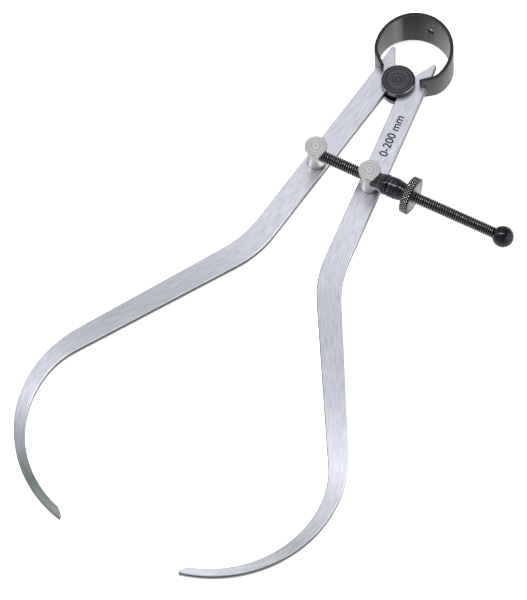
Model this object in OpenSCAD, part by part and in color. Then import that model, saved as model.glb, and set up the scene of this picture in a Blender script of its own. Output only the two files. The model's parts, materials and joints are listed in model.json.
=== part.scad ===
// Spring caliper for outside sizes: two hooked legs rock on a spool, a bow spring pushes their
// tips apart, and a nut on a cross screw holds them at the wanted size.
// Millimetres. Fulcrum axis along Z, legs toward -Y, bow toward +Y, cross screw along X.
// The origin is the middle of the hang hole at the top of the bow, level with the legs.

/* [Legs] */
// Fulcrum axis to measuring tip
leg_length = 200; // [190:1:215]
// Swing of each leg away from the closed position
opening_angle = 6.4; // [4:0.1:9]
// Sheet thickness of the legs
leg_thickness = 2.7; // [2.2:0.1:3.2]
// Width of the upper bar
bar_width = 8.1; // [7.6:0.1:9]
// Inner edge of the bar to the fulcrum axis
bar_offset = 1.6; // [1.2:0.1:2]
// Fulcrum axis to the start of the knee along the outer edge
knee_distance = 75.4; // [70:0.1:82]
// Bend of the knee
knee_angle = 23.7; // [22:0.1:25]
// Radius of the knee along the outer edge
knee_radius = 14; // [8:0.5:20]
// Fulcrum axis to the start of the knee along the inner edge
inner_knee_distance = 76.7; // [72:0.1:82]
// Radius of the knee along the inner edge
inner_knee_radius = 20; // [12:0.5:26]
// Angle between the leg's two edges below the knee
slope_taper = 1.3; // [0.8:0.1:1.6]
// Radius of the hook's outer edge
hook_radius = 44.4; // [43:0.1:46]
// Shift of the inner hook centre toward the tip, which thins the hook
hook_shift = 2.5; // [2.2:0.1:3]
// Radius of the inner edge where it turns into the hook
shoulder_radius = 30; // [24:0.5:33]
// Depth of the hook at the tip
tip_depth = 2.7; // [2.3:0.1:3.2]
// Height of the flat nose that touches the work
nose_height = 1.2; // [0.8:0.1:1.6]
// Length of the slope behind the nose
nose_slope = 2.6; // [1.5:0.1:4]
// Top of the horn above the fulcrum axis
horn_height = 11.3; // [10.5:0.1:11.6]
// Height above the fulcrum axis where the horn's inner slope begins
horn_start = 0.6; // [0.2:0.1:1]
// Slope of the horn's inner edge
horn_angle = 34; // [33:0.5:36]
// Chamfer of the horn's outer corner
horn_corner = 0.5; // [0.3:0.1:0.8]

/* [Fulcrum spool] */
// Diameter of the core that the legs rock on
core_diameter = 8; // [7:0.1:9]
// Diameter of the two flanges
flange_diameter = 11.6; // [11:0.1:12.2]
// Thickness of each flange
flange_thickness = 2.3; // [1.8:0.1:2.8]
// Bevel around the outer rim of each flange
flange_bevel = 0.35; // [0.2:0.05:0.6]
// Diameter of the turned ring on the front flange
ring_diameter = 5; // [4:0.1:6.5]
// Width of the turned ring
ring_width = 0.5; // [0.3:0.05:0.8]
// Depth of the turned ring
ring_depth = 0.25; // [0.15:0.05:0.4]

/* [Bow spring] */
// Outer diameter of the bow
bow_diameter = 27; // [26:0.1:28]
// Fulcrum axis to the bow's centre
bow_distance = 11.6; // [11.4:0.1:12]
// Thickness of the spring strip
strip_thickness = 1.15; // [1:0.05:1.4]
// Width of the strip at the top of the bow
strip_width = 16.8; // [15:0.1:18]
// Width of the strip at its ends
strip_end_width = 9.8; // [9:0.1:11]
// Angle from the bow's bottom to where its ends turn in
bend_start = 70; // [68:0.5:72]
// Outer radius of the turn
bend_radius = 6; // [5:0.1:7]
// Angle of the turn, before the straight ends
bend_turn = 30; // [28:0.5:32]
// Length of the straight ends
end_length = 4.4; // [4:0.1:4.8]
// Length of the two prongs that each end is forked into
prong_length = 1.7; // [1.4:0.1:2]
// Radius of the prongs' corners
prong_corner = 1.2; // [0.8:0.1:1.6]
// Diameter of the hang hole
hole_diameter = 2.5; // [2:0.1:3]

/* [Posts] */
// Fulcrum axis to the posts, along the bar
post_distance = 41; // [36:0.5:46]
// Height of the posts over the leg's face
post_height = 10.8; // [10.4:0.1:12]
// Diameter of the post column
column_diameter = 6; // [5.6:0.1:6.6]
// Diameter of the post head
head_diameter = 7.6; // [7.2:0.1:8]
// Height of the head's straight rim
rim_height = 0.8; // [0.5:0.1:1]
// Height of the flare under the rim
flare_height = 1.6; // [1:0.1:1.8]
// Diameter of the tail in the leg
tail_diameter = 4; // [3.5:0.1:4.4]
// Diameter of the peened button behind the leg
button_diameter = 5.6; // [5:0.1:6.2]
// Thickness of the peened button
button_thickness = 0.8; // [0.6:0.1:1.2]

/* [Screw] */
// Outer diameter of the screw thread
screw_diameter = 4.1; // [3.8:0.05:4.3]
// Screw axis over the leg's face
screw_height = 5.9; // [5.5:0.1:6.2]
// Depth of the screw's end past the left post's axis
screw_seat = 1.5; // [1:0.1:1.8]
// Left post's axis to the centre of the ball
screw_reach = 70.8; // [66:0.1:76]
// Diameter of the ball end
ball_diameter = 7.5; // [6.5:0.1:8.5]

/* [Nut] */
// Length of the thrust collar, from the post's side to the nut
collar_length = 4.3; // [3.5:0.1:5.5]
// Diameter of the collar at the post
collar_nose_diameter = 5.6; // [5.2:0.1:6]
// Diameter of the nut's barrel, and of the collar where they meet
barrel_diameter = 7.2; // [6.6:0.1:8]
// Length of the barrel's straight part
barrel_length = 3.2; // [2:0.1:4]
// Length of the barrel's taper
taper_length = 3.7; // [1.5:0.1:4.5]
// Diameter of the barrel at the finger disc
neck_diameter = 5.8; // [5.4:0.1:6.4]
// Diameter of the finger disc
disc_diameter = 13.2; // [12:0.1:15]
// Thickness of the finger disc
disc_thickness = 2.9; // [2.5:0.1:4.5]
// Bevel at the edges of the finger disc, collar and barrel
disc_bevel = 0.35; // [0.2:0.05:0.6]

/* [Fits] */
// Radial play of the legs on the spool and of the post tails in the legs
pivot_play = 0.05; // [0.02:0.01:0.08]
// Play between the legs and the flanges and buttons on either side
side_play = 0.1; // [0.05:0.01:0.2]
// Play of the strip in the leg's notch and of the leg in the strip's fork
strip_play = 0.3; // [0.2:0.05:0.4]
// Radial play of the right post, collar and nut on the screw
thread_play = 0.08; // [0.04:0.01:0.1]

/* [Hidden] */
$fn = 96;
past = 1;
far = 100;
half_leg = leg_thickness / 2;
bar_outer = bar_offset + bar_width;

// Knee of the outer edge
knee_centre = [-bar_outer - knee_radius, -knee_distance];
knee_outer_end = knee_centre + knee_radius * [cos(knee_angle), -sin(knee_angle)];

// Hook: its outer circle touches the outer edge below the knee and passes through the tip
slope_along = [-sin(knee_angle), -cos(knee_angle)];
slope_out = [-cos(knee_angle), sin(knee_angle)];
hook_base = knee_outer_end - hook_radius * slope_out;
hook_from_tip = hook_base + [0, leg_length];
hook_back = -(slope_along * hook_from_tip);
hook_rest = hook_from_tip * hook_from_tip - hook_radius * hook_radius;
slope_length = hook_back - sqrt(hook_back * hook_back - hook_rest);
hook_centre = hook_base + slope_length * slope_along;
hook_touch = knee_outer_end + slope_length * slope_along;
inner_centre = hook_centre - [0, hook_shift];
inner_radius = norm(inner_centre + [0, leg_length - tip_depth]);

// Inner edge: the knee, a straight line, a shoulder that touches the line, and the hook's inner circle
inner_angle = knee_angle + slope_taper;
inner_along = [-sin(inner_angle), -cos(inner_angle)];
inner_out = [-cos(inner_angle), sin(inner_angle)];
inner_knee_centre = [-bar_offset - inner_knee_radius, -inner_knee_distance];
inner_knee_end = inner_knee_centre - inner_knee_radius * inner_out;
shoulder_base = inner_knee_end - shoulder_radius * inner_out;
shoulder_from_hook = shoulder_base - inner_centre;
shoulder_back = -(inner_along * shoulder_from_hook);
shoulder_rest = shoulder_from_hook * shoulder_from_hook - pow(inner_radius - shoulder_radius, 2);
inner_length = shoulder_back + sqrt(shoulder_back * shoulder_back - shoulder_rest);
shoulder_centre = shoulder_base + inner_length * inner_along;
shoulder_touch = inner_knee_end + inner_length * inner_along;
shoulder_way = (shoulder_centre - inner_centre) / norm(shoulder_centre - inner_centre);
horn_run = (horn_height + past - horn_start) * tan(horn_angle);

// Bow, with its left end relative to the bow's centre
bow_outer = bow_diameter / 2;
bow_inner = bow_outer - strip_thickness;
bend_centre = (bow_outer - bend_radius) * [-sin(bend_start), -cos(bend_start)];
end_angle = bend_start - bend_turn;
end_along = [cos(end_angle), -sin(end_angle)];
end_out = [-sin(end_angle), -cos(end_angle)];
bend_inside = bend_centre + bend_radius / 2 * end_out;
end_inside = bend_inside + end_length * end_along;
bow_end_level = (end_inside + bend_radius / 2 * end_out)[1];
strip_slope = (strip_width - strip_end_width) / 2 / (bow_outer - bow_end_level);
half_strip_low = strip_end_width / 2 - strip_slope * past;
half_strip_high = strip_width / 2 + strip_slope * past;
corner_half = strip_end_width / 2 + strip_slope * prong_corner;
notch_reach = bow_outer / 2;
half_fork = half_leg + strip_play / 2;
hang_level = bow_distance + bow_outer - strip_thickness / 2;

// Posts and screw, with the legs open
post_inset = bar_offset + bar_width / 2;
post_x = post_inset * cos(opening_angle) + post_distance * sin(opening_angle);
post_y = post_inset * sin(opening_angle) - post_distance * cos(opening_angle);
post_top = half_leg + post_height;
screw_z = half_leg + screw_height;
tail_end = -half_leg - side_play;
button_end = tail_end - button_thickness;
guide_diameter = screw_diameter + 2 * thread_play;
collar_end = column_diameter / 2 + collar_length;

// Left leg outline with the tips closed
module leg_outline() {
    difference() {
        union() {
            difference() {
                polygon([[horn_corner - bar_outer, horn_height], [-bar_outer, horn_height - horn_corner],
                    [-bar_outer, -knee_distance], knee_outer_end, hook_touch, hook_centre,
                    [hook_centre[0], horn_height]]);
                translate(knee_centre) circle(knee_radius);
            }
            translate(hook_centre) circle(hook_radius);
        }
        polygon([[-bar_offset, horn_start], [-bar_offset, -inner_knee_distance], inner_knee_end,
            shoulder_touch, shoulder_centre, inner_centre, [far, inner_centre[1]],
            [far, horn_height + past], [-bar_offset - horn_run, horn_height + past]]);
        translate(shoulder_centre) circle(shoulder_radius);
        intersection() {
            translate(inner_centre) circle(inner_radius);
            polygon([inner_centre, inner_centre + far * shoulder_way, [-far, -leg_length - far],
                [far, -leg_length - far], [far, inner_centre[1]]]);
        }
        translate([0, -leg_length - far]) square(far + leg_length);
        polygon([[0, nose_height - leg_length], [-nose_slope, inner_edge(-nose_slope)],
            [0, inner_edge(-nose_slope) + past]]);
    }
    knee_bulge();
}

// Height of the hook's inner edge at a given distance from the closing line
function inner_edge(x) = inner_centre[1] - sqrt(inner_radius * inner_radius - pow(inner_centre[0] - x, 2));

// Round inner side of the knee
module knee_bulge() {
    intersection() {
        translate(inner_knee_centre) circle(inner_knee_radius);
        polygon([[-post_inset, -inner_knee_distance], [far, -inner_knee_distance],
            inner_knee_end - far * inner_out, inner_knee_end]);
    }
}

// Notch in the outer edge that the bow's web pushes against
module bow_notch() {
    translate([0, bow_distance]) end_frame()
        translate([end_length - prong_length - notch_reach, -bend_radius - strip_play])
            square([notch_reach, strip_thickness + 2 * strip_play]);
}

module open_leg() {
    translate([0, 0, -half_leg]) linear_extrude(leg_thickness) difference() {
        rotate(-opening_angle) leg_outline();
        circle(core_diameter / 2 + pivot_play);
        translate([-post_x, post_y]) circle(tail_diameter / 2 + pivot_play);
        bow_notch();
    }
}

// Moves the origin from the fulcrum to the hang hole
module from_hole() {
    translate([0, -hang_level, 0]) children();
}

module left_leg() {
    color([0.78, 0.78, 0.82]) from_hole() open_leg();
}

module right_leg() {
    color([0.78, 0.78, 0.82]) from_hole() mirror([1, 0, 0]) open_leg();
}

module flange() {
    cylinder(d = flange_diameter, h = flange_thickness - flange_bevel);
    translate([0, 0, flange_thickness - flange_bevel])
        cylinder(d1 = flange_diameter, d2 = flange_diameter - 2 * flange_bevel, h = flange_bevel);
}

module fulcrum_spool() {
    flange_level = half_leg + side_play;
    color([0.12, 0.12, 0.13]) from_hole() difference() {
        union() {
            translate([0, 0, -flange_level]) cylinder(d = core_diameter, h = 2 * flange_level);
            translate([0, 0, flange_level]) flange();
            mirror([0, 0, 1]) translate([0, 0, flange_level]) flange();
        }
        translate([0, 0, flange_level + flange_thickness - ring_depth]) difference() {
            cylinder(d = ring_diameter, h = ring_depth + past);
            cylinder(d = ring_diameter - 2 * ring_width, h = ring_depth + past);
        }
    }
}

// Side view of the strip, wide at the top of the bow and narrow at its ends
module strip_outline() {
    difference() {
        polygon([[bow_end_level - past, -half_strip_low], [bow_outer + past, -half_strip_high],
            [bow_outer + past, half_strip_high], [bow_end_level - past, half_strip_low]]);
        prong_rounding();
        mirror([0, 1]) prong_rounding();
    }
}

// What rounds a prong's corner off
module prong_rounding() {
    difference() {
        translate([bow_end_level - past, corner_half - prong_corner])
            square([prong_corner + past, prong_corner + past]);
        translate([bow_end_level + prong_corner, corner_half - prong_corner]) circle(prong_corner);
    }
}

// Frame of the bow's left straight end: X along it from the turn's centre, Y toward the inside
module end_frame() {
    translate(bend_centre) rotate([0, 0, -end_angle]) children();
}

module turned_end(bend) {
    translate(bend_centre) circle(bend);
    end_frame() translate([0, -bend]) square([end_length + past, bend]);
}

// Area inside a face of the strip: the round bow, its turns and its straight ends
module bow_area(outer, bend) {
    difference() {
        circle(outer);
        polygon([[0, 0], far * [-sin(bend_start), -cos(bend_start)],
            far * [sin(bend_start), -cos(bend_start)]]);
    }
    turned_end(bend);
    mirror([1, 0]) turned_end(bend);
}

// Front view of the strip, open between its ends
module bow_outline() {
    left_side = [bend_inside, end_inside, end_inside + far * end_out];
    right_side = [for (k = [2:-1:0]) [-left_side[k][0], left_side[k][1]]];
    difference() {
        bow_area(bow_outer, bend_radius);
        bow_area(bow_inner, bend_radius - strip_thickness);
        polygon(concat([[0, bend_radius]], left_side, right_side));
    }
}

// Gap between the two prongs of the left end, which straddle the leg
module fork_slot() {
    end_frame() translate([end_length - prong_length, -bend_radius - past, -half_fork])
        cube([prong_length + past, strip_thickness + 2 * past, 2 * half_fork]);
}

module bow_spring() {
    color([0.2, 0.2, 0.21]) from_hole() translate([0, bow_distance, 0]) difference() {
        intersection() {
            translate([0, 0, -strip_width / 2]) linear_extrude(strip_width) bow_outline();
            rotate([90, 0, 90]) translate([0, 0, -bow_diameter])
                linear_extrude(2 * bow_diameter) strip_outline();
        }
        fork_slot();
        mirror([1, 0, 0]) fork_slot();
        translate([0, bow_outer + past, 0]) rotate([90, 0, 0])
            cylinder(d = hole_diameter, h = strip_thickness + 2 * past);
    }
}

// Post without its cross hole: head, flare, column, tail and peened button
module post_blank() {
    rotate_extrude() polygon([[0, post_top], [head_diameter / 2, post_top],
        [head_diameter / 2, post_top - rim_height],
        [column_diameter / 2, post_top - rim_height - flare_height],
        [column_diameter / 2, half_leg], [tail_diameter / 2, half_leg],
        [tail_diameter / 2, tail_end], [button_diameter / 2, tail_end],
        [tail_diameter / 2, button_end], [0, button_end]]);
}

module left_post() {
    color([0.8, 0.79, 0.76]) from_hole() translate([-post_x, post_y, 0]) difference() {
        post_blank();
        translate([-screw_seat, 0, screw_z]) rotate([0, 90, 0])
            cylinder(d = screw_diameter, h = head_diameter);
    }
}

module right_post() {
    color([0.8, 0.79, 0.76]) from_hole() translate([post_x, post_y, 0]) difference() {
        post_blank();
        translate([-head_diameter, 0, screw_z]) rotate([0, 90, 0])
            cylinder(d = guide_diameter, h = 2 * head_diameter);
    }
}

module adjusting_screw() {
    color([0.1, 0.1, 0.1]) from_hole() translate([-post_x, post_y, screw_z]) {
        translate([-screw_seat, 0, 0]) rotate([0, 90, 0])
            cylinder(d = screw_diameter, h = screw_seat + screw_reach);
        translate([screw_reach, 0, 0]) sphere(d = ball_diameter);
    }
}

// Collar that carries the nut's thrust to the post, saddled to the post's round side
module thrust_collar() {
    color([0.1, 0.1, 0.1]) from_hole() translate([post_x, post_y, 0]) difference() {
        translate([0, 0, screw_z]) rotate([0, 90, 0]) rotate_extrude() polygon([
            [guide_diameter / 2, 0], [collar_nose_diameter / 2, 0],
            [collar_nose_diameter / 2, column_diameter / 2],
            [barrel_diameter / 2, collar_end - 2 * disc_bevel],
            [barrel_diameter / 2, collar_end - disc_bevel],
            [barrel_diameter / 2 - disc_bevel, collar_end], [guide_diameter / 2, collar_end]]);
        post_blank();
    }
}

module adjusting_nut() {
    taper_start = collar_end + barrel_length;
    disc_start = taper_start + taper_length;
    disc_end = disc_start + disc_thickness;
    color([0.1, 0.1, 0.1]) from_hole() translate([post_x, post_y, screw_z]) rotate([0, 90, 0])
        rotate_extrude() polygon([[guide_diameter / 2, collar_end],
            [barrel_diameter / 2 - disc_bevel, collar_end],
            [barrel_diameter / 2, collar_end + disc_bevel], [barrel_diameter / 2, taper_start],
            [neck_diameter / 2, disc_start], [disc_diameter / 2 - disc_bevel, disc_start],
            [disc_diameter / 2, disc_start + disc_bevel], [disc_diameter / 2, disc_end - disc_bevel],
            [disc_diameter / 2 - disc_bevel, disc_end], [guide_diameter / 2, disc_end]]);
}

left_leg();
right_leg();
fulcrum_spool();
bow_spring();
left_post();
right_post();
adjusting_screw();
thrust_collar();
adjusting_nut();
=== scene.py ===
"""Looks of the spring caliper: ground legs, turned posts, blackened bow, threaded screw and knurled nut."""
import json
import math

import bmesh
import bpy
from mathutils import Matrix, Vector


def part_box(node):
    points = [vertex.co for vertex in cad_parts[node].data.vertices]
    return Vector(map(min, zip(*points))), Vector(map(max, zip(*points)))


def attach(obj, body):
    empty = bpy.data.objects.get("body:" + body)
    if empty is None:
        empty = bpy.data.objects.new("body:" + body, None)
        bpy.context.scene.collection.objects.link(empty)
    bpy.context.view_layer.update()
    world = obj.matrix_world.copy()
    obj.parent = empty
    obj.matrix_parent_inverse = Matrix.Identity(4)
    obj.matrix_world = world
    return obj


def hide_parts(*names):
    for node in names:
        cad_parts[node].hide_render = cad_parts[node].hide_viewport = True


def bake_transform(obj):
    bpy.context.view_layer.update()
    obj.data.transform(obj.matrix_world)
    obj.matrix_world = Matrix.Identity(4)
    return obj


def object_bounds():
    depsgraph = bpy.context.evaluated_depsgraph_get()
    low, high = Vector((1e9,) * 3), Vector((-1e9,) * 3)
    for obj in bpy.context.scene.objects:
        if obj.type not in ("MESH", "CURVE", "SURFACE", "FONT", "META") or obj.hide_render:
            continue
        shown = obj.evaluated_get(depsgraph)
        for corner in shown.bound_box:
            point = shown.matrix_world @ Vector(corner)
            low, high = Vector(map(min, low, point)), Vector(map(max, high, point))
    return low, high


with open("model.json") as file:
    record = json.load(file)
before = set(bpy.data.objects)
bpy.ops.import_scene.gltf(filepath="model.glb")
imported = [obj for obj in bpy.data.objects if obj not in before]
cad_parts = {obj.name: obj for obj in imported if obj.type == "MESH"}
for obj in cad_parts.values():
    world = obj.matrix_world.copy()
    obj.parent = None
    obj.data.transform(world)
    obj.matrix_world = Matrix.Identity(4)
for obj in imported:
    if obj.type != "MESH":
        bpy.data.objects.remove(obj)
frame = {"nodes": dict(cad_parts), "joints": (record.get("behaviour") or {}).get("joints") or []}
cad_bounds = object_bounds()

MM = 0.001
TAU = 2 * math.pi
JOINTS = {joint["name"]: joint for joint in frame["joints"]}
FULCRUM = Vector(JOINTS["left_leg_swing"]["pos_m"])
LEFT_POST = Vector(JOINTS["left_post_swivel"]["pos_m"])
RIGHT_POST = Vector(JOINTS["right_post_swivel"]["pos_m"])
SCREW_Z = JOINTS["nut_spin"]["pos_m"][2]
OPENING = math.radians(6.4)
ACROSS = Vector((1, 0, 0))
UPRIGHT = Vector((0, 0, 1))
SCREW_AXIS = (0, LEFT_POST.y, SCREW_Z)

# Edges and shading
WELD = 0.002 * MM
SNAP = 0.1 * MM
SMOOTH_ANGLE = math.radians(32)
SHARP_ANGLE = math.radians(28)
FLAT_ANGLE = math.radians(0.4)
FLAT_AREA = 20 * MM ** 2
BEVEL_PROFILE = 0.6

# Legs
LEG_TOP = 1.35 * MM
LEG_BEVEL = 0.26 * MM
FAR_SIDE = Vector((-0.86, 0.51, 0))
EDGE_LEAN = 0.3
KNEE_TURN = math.radians(23.7)
SLOPE_TAPER = math.radians(1.3)
KNEE_Y = FULCRUM.y - 76 * MM
KNEE_BLEND = 7 * MM
KNEE_RADIUS = 40 * MM
KNEE_CUTS = 3
ARC_SLACK = math.radians(1)
HOOK_Y = FULCRUM.y - 133 * MM
HOOK_BLEND = 6 * MM
HOOK_CENTRE = Vector((12.64, -155.42)) * MM
LINES = (2700, 170, 0)
LINE_DETAIL = 4.0
LINE_ROUGHNESS = 0.7
LINE_DEPTH = 0.006 * MM
# Painted light and shade on the legs: bands by height along a slant, with a green cast that grows in the
# darker bands
BAND_LOW = -0.24
BAND_HEIGHT = 0.18
BAND_SLANT = (-0.2, 1, 0)
GREEN_CAST = 0.05
# Each edge's place in the bar, its knee's start below the fulcrum, its radius in the solid and its turn
OUTER_KNEE = (9.7 * MM, 75.4 * MM, 14 * MM, KNEE_TURN)
INNER_KNEE = (1.6 * MM, 76.7 * MM, 20 * MM, KNEE_TURN + SLOPE_TAPER)

# Size mark
MARK_PLACE = Vector((5.6, -20.2)) * MM
MARK_SIZE = 4.1 * MM
MARK_THICKNESS = 0.02 * MM
MARK_WEIGHT = 0.06 * MM

# Fulcrum spool
CORE_RADIUS = 4.0 * MM
FLANGE_THICKNESS = 2.3 * MM
FLANGE_BEVEL = 0.35 * MM
GROOVE_INNER = 2.0 * MM
GROOVE_OUTER = 2.5 * MM
GROOVE_DEPTH = 0.25 * MM
TURNING_PITCH = 0.8 * MM
TURNING_DEPTH = 0.05 * MM
TURNING_ROWS = 6
SPOOL_STEPS = 128

# Posts
POST_BEVEL = 0.16 * MM
HEAD_HEIGHT = 1.2 * MM
HEAD_PITCH = 0.8 * MM
HEAD_DEPTH = 0.035 * MM
HEAD_ROWS = 5
FOOT_HEIGHT = 0.25 * MM

# Bow spring
BOW_CENTRE = FULCRUM + Vector((0, 11.6, 0)) * MM
BOW_OUTER = 13.5 * MM
STRIP_THICKNESS = 1.15 * MM
BEND_START = math.radians(70)
BEND_END = math.radians(40)
BEND_RADIUS = 6 * MM
ENDS_LOW = BOW_CENTRE.y - 5 * MM
ENDS_TOP = BOW_CENTRE.y - 4 * MM
BOW_STEP = math.radians(3)
BOW_BEVEL = 0.12 * MM
RIM_LEAN = 0.6
HOLE_BEVEL = 0.4 * MM
HOLE_REACH = 1.6 * MM
HOLE_LEAN = 0.9

# Screw, collar and nut
THREAD_PITCH = 0.8 * MM
THREAD_DEPTH = 0.42 * MM
THREAD_RADIUS = 2.05 * MM
THREAD_STEPS = 28
CORE_STEPS = 32
BALL_ROWS = 32
BALL_STEPS = 48
BORE_RADIUS = 2.13 * MM
NUT_GAP = 0.03 * MM
COLUMN_RADIUS = 3.0 * MM
COLLAR_START = 1.5 * MM
COLLAR_NOSE_RADIUS = 2.8 * MM
COLLAR_RINGS = (0.2, 0.36, 0.52)
COLLAR_STEPS = 64
BARREL_RADIUS = 3.6 * MM
BARREL_LENGTH = 3.2 * MM
BARREL_RING = 0.55
NECK_RADIUS = 2.9 * MM
TAPER_LENGTH = 3.7 * MM
TAPER_RING = 0.25
DISC_RADIUS = 6.6 * MM
DISC_BEVEL = 0.35 * MM
RING_WIDTH = 0.2 * MM
RING_DEPTH = 0.08 * MM
KNURLS = 40
KNURL_DEPTH = 0.3 * MM
KNURL_ROWS = 26
KNURL_STEPS = 8

# Floor
FLOOR_REACH = 6.0
FLOOR_CELLS = 8
FLOOR_DROP = 0.2 * MM


def link(name, mesh):
    piece = bpy.data.objects.new(name, mesh)
    bpy.context.scene.collection.objects.link(piece)
    return piece


def to_mesh(name, bm, materials):
    """A mesh with smooth shading that breaks at sharp edges and round each large flat face."""
    bmesh.ops.recalc_face_normals(bm, faces=bm.faces)
    mesh = bpy.data.meshes.new(name)
    bm.to_mesh(mesh)
    bm.free()
    for material in materials:
        mesh.materials.append(material)
    mesh.shade_smooth()
    mesh.set_sharp_from_angle(angle=SMOOTH_ANGLE)
    flat = {key for face in mesh.polygons if face.area > FLAT_AREA for key in face.edge_keys}
    for edge in mesh.edges:
        if edge.key in flat:
            edge.use_edge_sharp = True
    return mesh


def add_piece(name, bm, body, materials, node):
    """A piece that moves with a body and stands for one CAD node."""
    piece = link(name, to_mesh(name, bm, materials))
    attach(piece, body)
    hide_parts(node)


def welded_copy(node):
    """The node's mesh with its doubled corners joined and its flat faces whole."""
    bm = bmesh.new()
    bm.from_mesh(frame["nodes"][node].data)
    bmesh.ops.remove_doubles(bm, verts=bm.verts, dist=WELD)
    bmesh.ops.dissolve_limit(bm, angle_limit=FLAT_ANGLE, verts=bm.verts, edges=bm.edges)
    return bm


def sharp_edges(bm, keep=lambda edge: True):
    return [e for e in bm.edges if e.is_manifold and e.calc_face_angle(0) > SHARP_ANGLE and keep(e)]


def bevel(bm, edges, width, segments=2):
    bmesh.ops.bevel(bm, geom=edges, offset=width, segments=segments, profile=BEVEL_PROFILE,
                    affect="EDGES", clamp_overlap=True)


def add_grid(bm, rows, material=0):
    """Skins rows of points with quads, and closes each row into a ring. A row of one point is a pole."""
    rings = [[bm.verts.new(p) for p in row] for row in rows]
    for low, high in zip(rings, rings[1:]):
        count = max(len(low), len(high))
        for k in range(count):
            corners = [low[k % len(low)], low[(k + 1) % len(low)],
                       high[(k + 1) % len(high)], high[k % len(high)]]
            corners = list(dict.fromkeys(corners))
            face = bm.faces.new(corners)
            face.material_index = material
    return rings


def ring_row(radius, height, matrix, steps, relief=lambda angle: 0.0):
    """Points round the Z axis of matrix, or the single point on it where the radius is zero."""
    if radius == 0:
        return [matrix @ Vector((0, 0, height))]
    row = []
    for k in range(steps):
        angle = TAU * k / steps
        r = radius + relief(angle)
        row.append(matrix @ Vector((r * math.cos(angle), r * math.sin(angle), height)))
    return row


# Materials

def material_nodes(name, color, metallic, roughness):
    material = bpy.data.materials.new(name)
    material.use_nodes = True
    tree = material.node_tree
    shader = tree.nodes["Principled BSDF"]
    shader.inputs["Base Color"].default_value = (*color, 1)
    shader.inputs["Metallic"].default_value = metallic
    shader.inputs["Roughness"].default_value = roughness
    return material, tree, shader


def wire(tree, kind, operation, *inputs):
    """A math node on sockets or constants."""
    node = tree.nodes.new(kind)
    node.operation = operation
    for socket, value in zip(node.inputs, inputs):
        if isinstance(value, bpy.types.NodeSocket):
            tree.links.new(value, socket)
        else:
            socket.default_value = value
    return node


def vector_math(tree, operation, *inputs):
    return wire(tree, "ShaderNodeVectorMath", operation, *inputs).outputs["Vector"]


def measure(tree, operation, *inputs):
    return wire(tree, "ShaderNodeVectorMath", operation, *inputs).outputs["Value"]


def math_node(tree, operation, *inputs):
    return wire(tree, "ShaderNodeMath", operation, *inputs).outputs[0]


def object_coords(tree, origin=(0, 0, 0)):
    coords = tree.nodes.new("ShaderNodeTexCoord")
    return vector_math(tree, "SUBTRACT", coords.outputs["Object"], origin)


def turned(tree, vector, angle):
    node = tree.nodes.new("ShaderNodeVectorRotate")
    node.rotation_type = "Z_AXIS"
    node.inputs["Angle"].default_value = angle
    tree.links.new(vector, node.inputs["Vector"])
    return node.outputs[0]


def join(tree, x, y):
    node = tree.nodes.new("ShaderNodeCombineXYZ")
    tree.links.new(x, node.inputs[0])
    tree.links.new(y, node.inputs[1])
    return node.outputs[0]


def from_axis(tree, centre, axis):
    """Distance from the axis of a turned piece."""
    across = vector_math(tree, "MULTIPLY", object_coords(tree, centre), Vector((1, 1, 1)) - axis)
    return measure(tree, "LENGTH", across)


def lathe_coords(tree, centre, axis):
    """Distance from the axis of a turned piece, and place along it."""
    return join(tree, from_axis(tree, centre, axis), measure(tree, "DOT_PRODUCT", object_coords(tree), axis))


def noise(tree, vector, scale, detail=3.0, roughness=0.6):
    node = tree.nodes.new("ShaderNodeTexNoise")
    node.inputs["Scale"].default_value = 1.0
    node.inputs["Detail"].default_value = detail
    node.inputs["Roughness"].default_value = roughness
    tree.links.new(vector_math(tree, "MULTIPLY", vector, scale), node.inputs["Vector"])
    return node.outputs["Fac"]


def ramp(tree, factor, stops):
    node = tree.nodes.new("ShaderNodeValToRGB")
    elements = node.color_ramp.elements
    while len(elements) < len(stops):
        elements.new(0.5)
    for element, (place, color) in zip(elements, stops):
        element.position = place
        element.color = (*color, 1)
    tree.links.new(factor, node.inputs["Fac"])
    return node.outputs["Color"]


def spread(tree, value, low, high, start=0.0, end=1.0):
    """Maps start..end to low..high with soft ends."""
    node = tree.nodes.new("ShaderNodeMapRange")
    node.interpolation_type = "SMOOTHSTEP"
    node.inputs["From Min"].default_value = start
    node.inputs["From Max"].default_value = end
    node.inputs["To Min"].default_value = low
    node.inputs["To Max"].default_value = high
    tree.links.new(value, node.inputs["Value"])
    return node.outputs["Result"]


def between(tree, share, low, high):
    """low where share is 0 and high where it is 1."""
    rise = math_node(tree, "SUBTRACT", high, low)
    return math_node(tree, "MULTIPLY_ADD", rise, share, low)


def bump(tree, shader, height, distance):
    node = tree.nodes.new("ShaderNodeBump")
    node.inputs["Distance"].default_value = distance
    tree.links.new(height, node.inputs["Height"])
    tree.links.new(node.outputs["Normal"], shader.inputs["Normal"])


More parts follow.
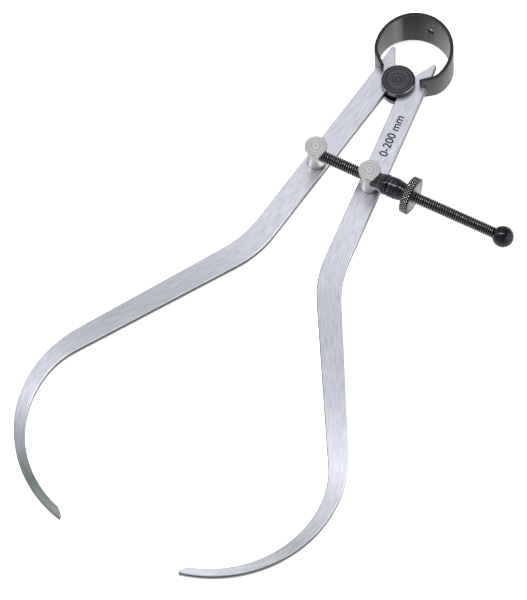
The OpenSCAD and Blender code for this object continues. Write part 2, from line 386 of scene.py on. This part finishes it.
def leg_lines(tree, sign):
    """Grinding lines that follow the bar, then the slope, then the hook."""
    here = object_coords(tree)
    bar = noise(tree, turned(tree, here, -sign * OPENING), LINES, LINE_DETAIL, LINE_ROUGHNESS)
    slope_turn = -sign * (OPENING + KNEE_TURN)
    slope = noise(tree, turned(tree, here, slope_turn), LINES, LINE_DETAIL, LINE_ROUGHNESS)
    centre = (sign * HOOK_CENTRE.x, FULCRUM.y + HOOK_CENTRE.y, 0)
    place = object_coords(tree, centre)
    reach = from_axis(tree, centre, UPRIGHT)
    height = measure(tree, "DOT_PRODUCT", place, (0, 1, 0))
    hook = noise(tree, join(tree, reach, height), LINES, LINE_DETAIL, LINE_ROUGHNESS)
    level = measure(tree, "DOT_PRODUCT", here, (0, 1, 0))
    above_hook = spread(tree, level, 0, 1, HOOK_Y - HOOK_BLEND, HOOK_Y + HOOK_BLEND)
    above_knee = spread(tree, level, 0, 1, KNEE_Y - KNEE_BLEND, KNEE_Y + KNEE_BLEND)
    lower = between(tree, above_hook, hook, slope)
    return between(tree, above_knee, lower, bar)


def ground_steel(name, sign, hook_shade, tip_shade):
    """Satin steel with grinding lines along the leg, and painted light and shade in bands across the hook
    and the slope.
    """
    material, tree, shader = material_nodes(name, (0.7, 0.7, 0.76), 1.0, 0.34)
    lines = leg_lines(tree, sign)
    color = ramp(tree, lines, [(0.30, (0.47, 0.48, 0.535)), (0.5, (0.62, 0.63, 0.705)),
                               (0.70, (0.77, 0.78, 0.85))])
    level = measure(tree, "DOT_PRODUCT", object_coords(tree), BAND_SLANT)
    share = math_node(tree, "MULTIPLY_ADD", level, 1 / BAND_HEIGHT, -BAND_LOW / BAND_HEIGHT)
    # Painted shade and light by place: darker over the tip, the hook and the slope, brighter at the shoulder
    shading_tones = [(0.07, tip_shade), (0.18, hook_shade), (0.28, (1 + hook_shade) / 2), (0.36, 1.05), (0.47, 0.8),
             (0.57, 0.7), (0.68, 0.73), (0.77, 0.86), (0.86, 0.96)]
    painted_shading = ramp(tree, share, [(place, (tone, tone + GREEN_CAST * (1 - tone), tone))
                              for place, tone in shading_tones])
    tree.links.new(vector_math(tree, "MULTIPLY", color, painted_shading), shader.inputs["Base Color"])
    patches = noise(tree, object_coords(tree), (55, 55, 55), 2.0)
    tree.links.new(spread(tree, patches, 0.29, 0.40), shader.inputs["Roughness"])
    bump(tree, shader, lines, LINE_DEPTH)
    return material


def edge_steel(name):
    """Sheared edges of the legs, dark next to the front face and brighter behind, where the brightening is a
    painted reflection of the floor.
    """
    material, tree, shader = material_nodes(name, (0.1, 0.1, 0.1), 1.0, 0.4)
    level = measure(tree, "DOT_PRODUCT", object_coords(tree), (0, 0, 1))
    reflection_fade = spread(tree, level, 0, 1, -LEG_TOP, LEG_TOP)
    # Painted reflection: the edges lighten from the front face toward the back, as if mirroring the floor
    color = ramp(tree, reflection_fade, [(0.0, (0.42, 0.42, 0.4)), (0.4, (0.16, 0.165, 0.155)),
                               (0.68, (0.018, 0.021, 0.019))])
    lines = noise(tree, object_coords(tree), (300, 300, 2500), 3.0)
    tree.links.new(color, shader.inputs["Base Color"])
    tree.links.new(spread(tree, lines, 0.32, 0.48), shader.inputs["Roughness"])
    return material


def faced_steel(name, centre):
    """Post head with the rings that facing it on a lathe leaves."""
    material, tree, shader = material_nodes(name, (0.48, 0.47, 0.48), 1.0, 0.26)
    rings = noise(tree, lathe_coords(tree, centre, UPRIGHT), (1700, 0, 0), 3.0)
    color = ramp(tree, rings, [(0.34, (0.24, 0.235, 0.24)), (0.5, (0.48, 0.47, 0.48)),
                               (0.66, (0.68, 0.67, 0.68))])
    tree.links.new(color, shader.inputs["Base Color"])
    tree.links.new(spread(tree, rings, 0.34, 0.2), shader.inputs["Roughness"])
    return material


def turned_steel(name, tone):
    """Turned steel with a warm cast and fine lines round it."""
    warm = Vector((1.0, 0.965, 0.92)) * tone
    material, tree, shader = material_nodes(name, warm, 1.0, 0.3)
    lines = noise(tree, object_coords(tree), (0, 0, 1800), 3.0)
    color = ramp(tree, lines, [(0.3, warm * 0.9), (0.7, warm * 1.08)])
    tree.links.new(color, shader.inputs["Base Color"])
    tree.links.new(spread(tree, lines, 0.36, 0.26), shader.inputs["Roughness"])
    shader.inputs["Specular Tint"].default_value = (0.5, 0.5, 0.5, 1)
    return material


def black_oxide(name, centre, axis, roughness, dark, light):
    """Turned steel with a black oxide skin that is thinner along some turning rings."""
    material, tree, shader = material_nodes(name, dark, 1.0, roughness)
    rings = noise(tree, lathe_coords(tree, centre, axis), (1600, 1600, 0), 3.0)
    color = ramp(tree, rings, [(0.36, dark), (0.68, light)])
    tree.links.new(color, shader.inputs["Base Color"])
    tree.links.new(spread(tree, rings, roughness + 0.06, roughness - 0.06), shader.inputs["Roughness"])
    return material


def wear_and_painted_light_oxide(name, centre, axis, root, crest, light):
    """Black oxide that is lighter along the crests of a thread or knurl, partly worn and partly a painted
    highlight, and darkest in the roots as painted shade.
    """
    material, tree, shader = material_nodes(name, light, 1.0, 0.3)
    crest_share = spread(tree, from_axis(tree, centre, axis), 0, 1, root, crest)
    # Roots darkest as painted shade; crests lighter, part wear and part painted highlight
    color = ramp(tree, crest_share, [(0.0, (0.004, 0.004, 0.005)), (0.65, (0.012, 0.012, 0.014)), (1.0, light)])
    grain = noise(tree, object_coords(tree), (900, 900, 900))
    tree.links.new(color, shader.inputs["Base Color"])
    tree.links.new(spread(tree, grain, 0.16, 0.32), shader.inputs["Roughness"])
    return material


def blackened_rim(name):
    """Dark edges of the spring strip."""
    material, tree, shader = material_nodes(name, (0.02, 0.022, 0.021), 0.9, 0.42)
    grain = noise(tree, object_coords(tree), (700, 700, 700))
    color = ramp(tree, grain, [(0.3, (0.014, 0.016, 0.015)), (0.7, (0.03, 0.032, 0.03))])
    tree.links.new(color, shader.inputs["Base Color"])
    return material


def blackened_strip(name):
    """Rolled spring steel with a black skin, and painted reflections that make the inside of the bow lighter
    and darker across its width.
    """
    material, tree, shader = material_nodes(name, (0.13, 0.13, 0.13), 0.9, 0.4)
    across = measure(tree, "DOT_PRODUCT", object_coords(tree), (1, 0, 0))
    share = spread(tree, across, 0, 1, -BOW_OUTER, BOW_OUTER)
    # Painted reflections across the inside of the bow, by place from one side to the other
    painted_reflection_greys = [(0.0, 0.08), (0.035, 0.165), (0.06, 0.12), (0.09, 0.02), (0.25, 0.024), (0.5, 0.05),
            (0.8, 0.092), (0.97, 0.17)]
    painted_inside = ramp(tree, share, [(place, (tone, tone, tone)) for place, tone in painted_reflection_greys])
    outside = spread(tree, from_axis(tree, BOW_CENTRE, UPRIGHT), 0, 1,
                     BOW_OUTER - STRIP_THICKNESS, BOW_OUTER)
    level = measure(tree, "DOT_PRODUCT", object_coords(tree), (0, 1, 0))
    ends = spread(tree, level, 1, 0, ENDS_LOW, ENDS_TOP)
    strip_tone = tree.nodes.new("ShaderNodeMix")
    strip_tone.data_type = "RGBA"
    strip_tone.inputs["B"].default_value = (0.05, 0.0515, 0.053, 1)
    tree.links.new(math_node(tree, "MAXIMUM", outside, ends), strip_tone.inputs["Factor"])
    tree.links.new(painted_inside, strip_tone.inputs["A"])
    tree.links.new(strip_tone.outputs["Result"], shader.inputs["Base Color"])
    rolled = noise(tree, object_coords(tree), (90, 90, 1500))
    tree.links.new(spread(tree, rolled, 0.34, 0.46), shader.inputs["Roughness"])
    return material


def plain_ink(name):
    """Matt black print."""
    material, tree, shader = material_nodes(name, (0.008, 0.008, 0.009), 0.0, 0.7)
    grain = noise(tree, object_coords(tree), (2500, 2500, 2500))
    color = ramp(tree, grain, [(0.3, (0.004, 0.004, 0.005)), (0.75, (0.014, 0.014, 0.016))])
    tree.links.new(color, shader.inputs["Base Color"])
    shader.inputs["Specular IOR Level"].default_value = 0.1
    return material


def floor_paper(name):
    """White paper that is lit from below, so that shadows stay faint."""
    material, tree, shader = material_nodes(name, (0.93, 0.93, 0.93), 0.0, 0.9)
    grain = noise(tree, object_coords(tree), (30, 30, 30), 2.0)
    color = ramp(tree, grain, [(0.0, (0.92, 0.92, 0.92)), (1.0, (0.94, 0.94, 0.94))])
    tree.links.new(color, shader.inputs["Base Color"])
    shader.inputs["Emission Color"].default_value = (1, 1, 1, 1)
    shader.inputs["Emission Strength"].default_value = 0.58
    return material


# Pieces

def soften_knee(bm, sign, knee):
    """Draws one edge's arc at the knee out to a longer radius, between the same two straight edges."""
    edge_x, start, radius, turn = knee
    to_bar = Matrix.Rotation(OPENING, 2) @ Matrix.Diagonal((-sign, 1))
    from_bar = to_bar.inverted()
    centre = Vector((-edge_x - radius, -start))
    middle = Vector((1, -math.tan(turn / 2)))

    def away(v):
        return to_bar @ (v.co.xy - FULCRUM.xy) - centre

    def on_arc(v):
        angle = math.atan2(-away(v).y, away(v).x)
        return abs(away(v).length - radius) < SNAP and -ARC_SLACK < angle < turn + ARC_SLACK

    level = [e for e in bm.edges if abs(e.verts[0].co.z - e.verts[1].co.z) < WELD]
    arc = [e for e in level if all(on_arc(v) for v in e.verts)]
    bmesh.ops.subdivide_edges(bm, edges=arc, cuts=KNEE_CUTS, use_grid_fill=True)
    for v in [v for v in bm.verts if on_arc(v)]:
        way = away(v).normalized()
        v.co.xy = FULCRUM.xy + from_bar @ (centre + radius * middle + KNEE_RADIUS * (way - middle))


def make_leg(side, sign, edge_material, hook_shade, tip_shade):
    """A leg with rounder knees, and another steel on its edges than on its flats; the chamfers on the far
    side also take the dark edge steel, as a painted shade line.
    """
    node = side + "_leg"
    bm = welded_copy(node)
    for knee in (OUTER_KNEE, INNER_KNEE):
        soften_knee(bm, sign, knee)
    bevel(bm, sharp_edges(bm), LEG_BEVEL, segments=1)
    bm.normal_update()
    for face in bm.faces:
        # Chamfers that face the far side take the dark edge steel: a painted shade line along those edges
        shaded_chamfer = face.normal.dot(FAR_SIDE) > EDGE_LEAN
        face.material_index = 1 if shaded_chamfer or abs(face.normal.z) < EDGE_LEAN else 0
    materials = [ground_steel(node + "_steel", sign, hook_shade, tip_shade), edge_material]
    add_piece(node + "_ground", bm, node, materials, node)


def make_mark(material):
    """A plain size mark along the right leg's bar."""
    curve = bpy.data.curves.new("size_mark", "FONT")
    curve.body = "0-200 mm"
    curve.size = MARK_SIZE
    curve.extrude = MARK_THICKNESS / 2
    curve.offset = MARK_WEIGHT
    curve.align_x = "CENTER"
    curve.align_y = "CENTER"
    words = link("size_mark_words", curve)
    mesh = bpy.data.meshes.new_from_object(words.evaluated_get(bpy.context.evaluated_depsgraph_get()))
    bpy.data.objects.remove(words)
    bar = Matrix.Translation((FULCRUM.x, FULCRUM.y, LEG_TOP)) @ Matrix.Rotation(OPENING, 4, "Z")
    along = Matrix.Translation((MARK_PLACE.x, MARK_PLACE.y, 0)) @ Matrix.Rotation(math.pi / 2, 4, "Z")
    mesh.transform(bar @ along)
    mesh.materials.clear()
    mesh.materials.append(material)
    mark = link("size_mark", mesh)
    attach(mark, "right_leg")


def make_spool(material):
    """A spool with turning rings and a groove in its front face."""
    low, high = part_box("fulcrum_spool")
    radius = (high.x - low.x) / 2
    top = high.z
    neck = top - FLANGE_THICKNESS
    face = radius - FLANGE_BEVEL
    steps = round(face / TURNING_PITCH * TURNING_ROWS)
    profile = []
    for k in range(steps + 1):
        r = face * k / steps
        reflection_fade = TURNING_DEPTH * (0.5 - 0.5 * math.cos(TAU * r / TURNING_PITCH))
        if GROOVE_INNER < r < GROOVE_OUTER:
            reflection_fade = GROOVE_DEPTH
        profile.append((r, top - reflection_fade))
    profile += [(radius, top - FLANGE_BEVEL), (radius, neck), (CORE_RADIUS, neck)]
    profile += [(CORE_RADIUS, -neck), (radius, -neck), (radius, low.z + FLANGE_BEVEL)]
    profile += [(face, low.z), (0, low.z)]
    place = Matrix.Translation((FULCRUM.x, FULCRUM.y, 0))
    bm = bmesh.new()
    add_grid(bm, [ring_row(r, z, place, SPOOL_STEPS) for r, z in profile])
    add_piece("fulcrum_spool_turned", bm, "fulcrum", [material], "fulcrum_spool")


def face_head(bm, axis, top):
    """Swaps the flat end of a post for one with fine turning rings."""
    ends = [f for f in bm.faces if all(abs(v.co.z - top) < WELD for v in f.verts)]
    rim = {v for f in ends for v in f.verts}
    edges = [e for e in bm.edges if sum(f in ends for f in e.link_faces) == 1]
    bmesh.ops.delete(bm, geom=ends, context="FACES_ONLY")
    loop = {v: [v] for e in edges for v in e.verts}
    radius = max((v.co.xy - axis.xy).length for v in rim)
    levels = round(radius / HEAD_PITCH * HEAD_ROWS)
    for k in range(1, levels):
        share = 1 - k / levels
        reflection_fade = HEAD_DEPTH * (0.5 - 0.5 * math.cos(TAU * radius * (1 - share) / HEAD_PITCH))
        for v, column in loop.items():
            flat = axis.xy + (v.co.xy - axis.xy) * share
            column.append(bm.verts.new((flat.x, flat.y, top - reflection_fade)))
    middle = bm.verts.new((axis.x, axis.y, top))
    for e in edges:
        a, b = (loop[v] for v in e.verts)
        for k in range(levels - 1):
            bm.faces.new((a[k], b[k], b[k + 1], a[k + 1]))
        bm.faces.new((a[-1], b[-1], middle))


def make_post(side, axis, side_material, shade_material):
    """A post with a faced head, and painted shade lines round the head's rim and the foot."""
    node = side + "_post"
    low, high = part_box(node)
    top = high.z
    top_radius = (high.y - low.y) / 2 - POST_BEVEL
    bm = welded_copy(node)
    bevel(bm, sharp_edges(bm, lambda e: min(v.co.z for v in e.verts) > top - HEAD_HEIGHT), POST_BEVEL)
    face_head(bm, axis, top)
    # A thin band at the foot takes the dark steel: painted shade in the crevice where the post stands on the
    # leg
    foot = LEG_TOP + FOOT_HEIGHT
    geometry = bm.verts[:] + bm.edges[:] + bm.faces[:]
    bmesh.ops.bisect_plane(bm, geom=geometry, dist=WELD, plane_co=(0, 0, foot), plane_no=(0, 0, 1))
    for face in bm.faces:
        level = face.calc_center_median().z
        rim = (face.calc_center_median().xy - axis.xy).length > top_radius
        # The bevel round the head's rim takes the dark steel as a painted shade line
        if level > top - POST_BEVEL:
            face.material_index = 2 if rim else 0
        else:
            face.material_index = 2 if LEG_TOP < level < foot else 1
    materials = [faced_steel(node + "_head", axis), side_material, shade_material]
    add_piece(node + "_turned", bm, side + "_swivel", materials, node)


def bend_centre(sign):
    """Middle of the turn at one end of the bow."""
    reach = BOW_OUTER - BEND_RADIUS
    return BOW_CENTRE + reach * Vector((sign * math.sin(BEND_START), -math.cos(BEND_START), 0))


def on_strip(point):
    """A corner of the CAD mesh, moved from its chord onto the strip's true curve."""
    sign = 1 if point.x > 0 else -1
    centre, outer = BOW_CENTRE, BOW_OUTER
    away = point - centre
    if math.atan2(abs(away.x), -away.y) < BEND_START:
        centre, outer = bend_centre(sign), BEND_RADIUS
        away = point - centre
        if math.atan2(sign * away.x, -away.y) < BEND_END:
            return point
    reach = away.xy.length
    for radius in (outer, outer - STRIP_THICKNESS):
        if abs(reach - radius) < SNAP:
            away.xy *= radius / reach
    return centre + away


def cut_strip():
    """The whole bow, cut finely enough to bend, with bevelled edges and its rim apart from its faces."""
    bm = welded_copy("bow_spring")
    cuts = [(BOW_CENTRE, k * BOW_STEP) for k in range(round(math.pi / BOW_STEP))]
    for k in range(1, round((BEND_START - BEND_END) / BOW_STEP)):
        for sign in (-1, 1):
            cuts.append((bend_centre(sign), sign * (BEND_END + k * BOW_STEP)))
    for centre, angle in cuts:
        geometry = bm.verts[:] + bm.edges[:] + bm.faces[:]
        normal = Vector((math.cos(angle), math.sin(angle), 0))
        bmesh.ops.bisect_plane(bm, geom=geometry, dist=WELD, plane_co=centre, plane_no=normal)
    for v in bm.verts:
        v.co = on_strip(v.co)
    hole = sharp_edges(bm, lambda e: all(v.co.xz.length < HOLE_REACH for v in e.verts))
    bevel(bm, hole, HOLE_BEVEL, segments=1)
    bevel(bm, sharp_edges(bm, lambda e: any(v.co.xz.length > 2 * HOLE_REACH for v in e.verts)), BOW_BEVEL)
    bm.normal_update()
    for face in bm.faces:
        near_hole = face.calc_center_median().xz.length < HOLE_REACH
        in_hole = near_hole and abs(face.normal.y) < HOLE_LEAN
        face.material_index = 1 if in_hole or abs(face.normal.z) > RIM_LEAN else 0
    return bm


def make_bow(strip_material, rim_material):
    """Two halves, from the middle of the bow down to the prongs."""
    bm = cut_strip()
    for side, sign in (("left", -1), ("right", 1)):
        half = bm.copy()
        geometry = half.verts[:] + half.edges[:] + half.faces[:]
        cut = bmesh.ops.bisect_plane(half, geom=geometry, dist=WELD, plane_co=BOW_CENTRE,
                                     plane_no=(sign, 0, 0), clear_inner=True)
        rim = [e for e in cut["geom_cut"] if isinstance(e, bmesh.types.BMEdge)]
        bmesh.ops.holes_fill(half, edges=rim, sides=0)
        piece = link("bow_" + side, to_mesh("bow_" + side, half, [strip_material, rim_material]))
        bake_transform(piece)
        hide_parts("bow_spring")
    bm.free()


def add_thread(bm, axis, start, turns):
    """A ridge that winds along the screw. Its section is given in shares of the pitch, and radii."""
    crest = THREAD_RADIUS
    root = crest - THREAD_DEPTH
    section = [(0.0, root), (0.12, root), (0.44, crest), (0.62, crest)]
    columns = []
    for k in range(turns * THREAD_STEPS + 1):
        angle = TAU * k / THREAD_STEPS
        lead = start + THREAD_PITCH * k / THREAD_STEPS
        column = []
        for share, radius in section:
            x = lead + share * THREAD_PITCH
            offset = Vector((x, radius * math.cos(angle), radius * math.sin(angle)))
            column.append(bm.verts.new(axis + offset))
        columns.append(column)
    count = len(section)
    for k in range(len(columns) - 1):
        for j in range(count):
            if j + 1 < count:
                corners = [columns[k][j], columns[k + 1][j], columns[k + 1][j + 1], columns[k][j + 1]]
            elif k + 1 + THREAD_STEPS < len(columns):
                after = [columns[k + 1 + THREAD_STEPS][0], columns[k + THREAD_STEPS][0]]
                corners = [columns[k][j], columns[k + 1][j]] + after
            else:
                continue
            bm.faces.new(corners)


def make_screw(thread_material, ball_material):
    """A threaded screw with a ball on its far end."""
    low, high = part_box("adjusting_screw")
    ball_radius = (high.y - low.y) / 2
    ball_x = high.x - ball_radius
    start = low.x
    turns = int((ball_x - start - ball_radius / 2) / THREAD_PITCH)
    root = THREAD_RADIUS - THREAD_DEPTH
    axis = Vector(SCREW_AXIS)
    place = Matrix.Translation(axis) @ Matrix.Rotation(math.pi / 2, 4, "Y")
    bm = bmesh.new()
    add_thread(bm, axis, start, turns)
    core = [(0, start), (root, start), (root, ball_x), (0, ball_x)]
    add_grid(bm, [ring_row(r, x, place, CORE_STEPS) for r, x in core])
    ball = []
    for k in range(BALL_ROWS + 1):
        angle = math.pi * k / BALL_ROWS
        radius = ball_radius * math.sin(angle) if 0 < k < BALL_ROWS else 0
        ball.append((radius, ball_x - ball_radius * math.cos(angle)))
    add_grid(bm, [ring_row(r, x, place, BALL_STEPS) for r, x in ball], material=1)
    materials = [thread_material, ball_material]
    add_piece("adjusting_screw_threaded", bm, "left_swivel", materials, "adjusting_screw")


def ringed(profile, places):
    """A profile with fine V rings turned into its surface at the given heights."""
    out = list(profile)
    for place in places:
        for (r0, h0), (r1, h1) in zip(profile, profile[1:]):
            if h0 < place < h1:
                radius = r0 + (r1 - r0) * (place - h0) / (h1 - h0)
                out += [(radius, place - RING_WIDTH / 2), (radius - RING_DEPTH, place),
                        (radius, place + RING_WIDTH / 2)]
    return sorted(out, key=lambda point: point[1])


def make_collar(material):
    """The collar's post end is saddled to the round post."""
    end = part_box("thrust_collar")[1].x - RIGHT_POST.x - NUT_GAP
    bore = BORE_RADIUS
    body = [(COLLAR_NOSE_RADIUS, COLLAR_START), (COLLAR_NOSE_RADIUS, COLUMN_RADIUS),
            (BARREL_RADIUS, end - 2 * DISC_BEVEL), (BARREL_RADIUS, end - DISC_BEVEL),
            (BARREL_RADIUS - DISC_BEVEL, end)]
    rings = [COLUMN_RADIUS + share * (end - COLUMN_RADIUS) for share in COLLAR_RINGS]
    profile = [(bore, COLLAR_START)] + ringed(body, rings) + [(bore, end), (bore, COLLAR_START)]
    place = Matrix.Translation((RIGHT_POST.x, RIGHT_POST.y, SCREW_Z)) @ Matrix.Rotation(math.pi / 2, 4, "Y")
    bm = bmesh.new()
    add_grid(bm, [ring_row(r, h, place, COLLAR_STEPS) for r, h in profile])
    bmesh.ops.remove_doubles(bm, verts=bm.verts, dist=WELD)
    for v in bm.verts:
        saddle = RIGHT_POST.x + math.sqrt(max(COLUMN_RADIUS ** 2 - (v.co.y - RIGHT_POST.y) ** 2, 0))
        v.co.x = max(v.co.x, saddle)
    add_piece("thrust_collar_turned", bm, "right_swivel", [material], "thrust_collar")


def knurl_relief(lean):
    """Depth round the disc where two sets of slanted grooves have moved apart by an angle."""
    def relief(angle):
        one = abs(math.sin((angle + lean) * KNURLS / 2))
        two = abs(math.sin((angle - lean) * KNURLS / 2))
        return -KNURL_DEPTH * (1 - min(one, two))
    return relief


def make_nut(barrel_material, knurl_material, face_material):
    """A tapered barrel and a diamond-knurled disc in one piece."""
    low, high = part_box("adjusting_nut")
    start, end = low.x - RIGHT_POST.x, high.x - RIGHT_POST.x
    radius = DISC_RADIUS
    bore = BORE_RADIUS
    taper = start + BARREL_LENGTH
    disc = taper + TAPER_LENGTH
    place = Matrix.Translation((RIGHT_POST.x, RIGHT_POST.y, SCREW_Z)) @ Matrix.Rotation(math.pi / 2, 4, "Y")
    body = [(BARREL_RADIUS - DISC_BEVEL, start), (BARREL_RADIUS, start + DISC_BEVEL),
            (BARREL_RADIUS, taper), (NECK_RADIUS, disc)]
    turned_rings = [start + BARREL_RING * BARREL_LENGTH, taper + TAPER_RING * TAPER_LENGTH]
    barrel = [(bore, start)] + ringed(body, turned_rings)
    bm = bmesh.new()
    steps = KNURLS * KNURL_STEPS
    rings = add_grid(bm, [ring_row(r, h, place, steps) for r, h in barrel])
    first, last = disc + DISC_BEVEL, end - DISC_BEVEL
    inner = radius - DISC_BEVEL - KNURL_DEPTH
    knurled = [[v.co.copy() for v in rings[-1]], ring_row(inner, disc, place, steps)]
    for k in range(KNURL_ROWS + 1):
        share = k / KNURL_ROWS
        height = first + (last - first) * share
        relief = knurl_relief(share * (last - first) / radius)
        knurled.append(ring_row(radius, height, place, steps, relief))
    edge = ring_row(inner, end, place, steps)
    add_grid(bm, knurled + [edge], material=1)
    add_grid(bm, [edge, ring_row(bore, end, place, steps), ring_row(bore, start, place, steps)], material=2)
    bmesh.ops.remove_doubles(bm, verts=bm.verts, dist=WELD)
    materials = [barrel_material, knurl_material, face_material]
    add_piece("adjusting_nut_knurled", bm, "nut", materials, "adjusting_nut")


def make_floor():
    bm = bmesh.new()
    bmesh.ops.create_grid(bm, x_segments=FLOOR_CELLS, y_segments=FLOOR_CELLS, size=FLOOR_REACH)
    floor = link("floor", to_mesh("floor", bm, [floor_paper("floor_paper")]))
    floor.location = (0, 0, cad_bounds[0][2] - FLOOR_DROP)


def add_area(name, place, aim, size, radiance):
    """A panel of light that faces a point."""
    light = bpy.data.lights.new(name, "AREA")
    light.shape = "RECTANGLE"
    light.size, light.size_y = size
    light.energy = radiance * math.pi * size[0] * size[1]
    lamp = link(name, light)
    lamp.location = place
    lamp.rotation_euler = (Vector(aim) - Vector(place)).to_track_quat("-Z", "Y").to_euler()


def make_light():
    """A soft dome that is brighter toward the horizon, and panels whose brightness is given per area."""
    world = bpy.data.worlds.new("studio")
    world.use_nodes = True
    tree = world.node_tree
    coords = tree.nodes.new("ShaderNodeTexCoord")
    height = measure(tree, "DOT_PRODUCT", coords.outputs["Generated"], (0, 0, 1))
    sky = ramp(tree, height, [(0.0, (0.8, 0.8, 0.8)), (0.45, (0.78, 0.78, 0.79)),
                              (0.75, (0.38, 0.38, 0.39)), (1.0, (0.4, 0.4, 0.42))])
    tree.links.new(sky, tree.nodes["Background"].inputs["Color"])
    bpy.context.scene.world = world
    add_area("soft_top", (-0.15, 0.24, 0.5), (0, -0.03, 0), (0.3, 0.3), 0.6)
    add_area("soft_middle", (-0.05, 0.06, 0.5), (0.06, -0.17, 0), (0.18, 0.18), 0.5)
    add_area("strip_top", (-0.2, -0.14, 0.8), (0.02, -0.06, 0), (0.03, 1.2), 42.0)
    add_area("card_right", (0.75, 0.05, 0.3), (0, -0.1, 0), (1.0, 0.5), 2.0)
    add_area("card_left", (-0.8, -0.1, 0.35), (0, -0.1, 0), (0.5, 0.3), 0.5)


def make_camera():
    """A long lens that looks down on the legs."""
    target = Vector((-0.92, -119.99, 1.35)) * MM
    place = Vector((667.67, -1246.51, 2334.42)) * MM
    roll = math.radians(-3)
    data = bpy.data.cameras.new("camera")
    data.sensor_fit = "VERTICAL"
    data.sensor_height = 24
    data.lens = 320
    data.clip_end = 20
    camera = link("camera", data)
    view = (target - place).to_track_quat("-Z", "Y").to_matrix().to_4x4()
    camera.matrix_world = Matrix.Translation(place) @ view @ Matrix.Rotation(roll, 4, "Z")
    bpy.context.scene.camera = camera


spool_oxide = black_oxide("spool_oxide", FULCRUM, UPRIGHT, 0.24, (0.012, 0.012, 0.014), (0.15, 0.145, 0.155))
barrel_oxide = black_oxide("barrel_oxide", SCREW_AXIS, ACROSS, 0.2, (0.02, 0.02, 0.023),
                           (0.085, 0.088, 0.095))
ball_oxide = black_oxide("ball_oxide", SCREW_AXIS, ACROSS, 0.22, (0.016, 0.016, 0.018), (0.04, 0.042, 0.046))
face_oxide = black_oxide("disc_face_oxide", SCREW_AXIS, ACROSS, 0.36, (0.012, 0.013, 0.013),
                         (0.26, 0.28, 0.27))
thread_oxide = wear_and_painted_light_oxide("thread_oxide", SCREW_AXIS, ACROSS, THREAD_RADIUS - THREAD_DEPTH, THREAD_RADIUS,
                          (0.21, 0.21, 0.22))
knurl_oxide = wear_and_painted_light_oxide("knurl_oxide", SCREW_AXIS, ACROSS, DISC_RADIUS - KNURL_DEPTH, DISC_RADIUS,
                         (0.7, 0.71, 0.71))
strip_steel = blackened_strip("strip_steel")
rim_steel = blackened_rim("strip_rim_steel")
leg_edge = edge_steel("leg_edge_steel")
post_side = turned_steel("post_side_steel", 0.7)
# A dark copy of the post steel, for painted shade lines at the head's rim and the foot
post_shade_line = turned_steel("post_line_steel", 0.12)

# The last two numbers of each leg are the painted shade on its hook and its tip
make_leg("left", -1, leg_edge, 0.2, 0.55)
make_leg("right", 1, leg_edge, 0.48, 0.8)
make_mark(plain_ink("mark_ink"))
make_spool(spool_oxide)
make_post("left", LEFT_POST, post_side, post_shade_line)
make_post("right", RIGHT_POST, post_side, post_shade_line)
make_bow(strip_steel, rim_steel)
make_screw(thread_oxide, ball_oxide)
make_collar(barrel_oxide)
make_nut(barrel_oxide, knurl_oxide, face_oxide)
make_floor()
make_light()
make_camera()
bpy.context.scene.view_settings.view_transform = "Standard"
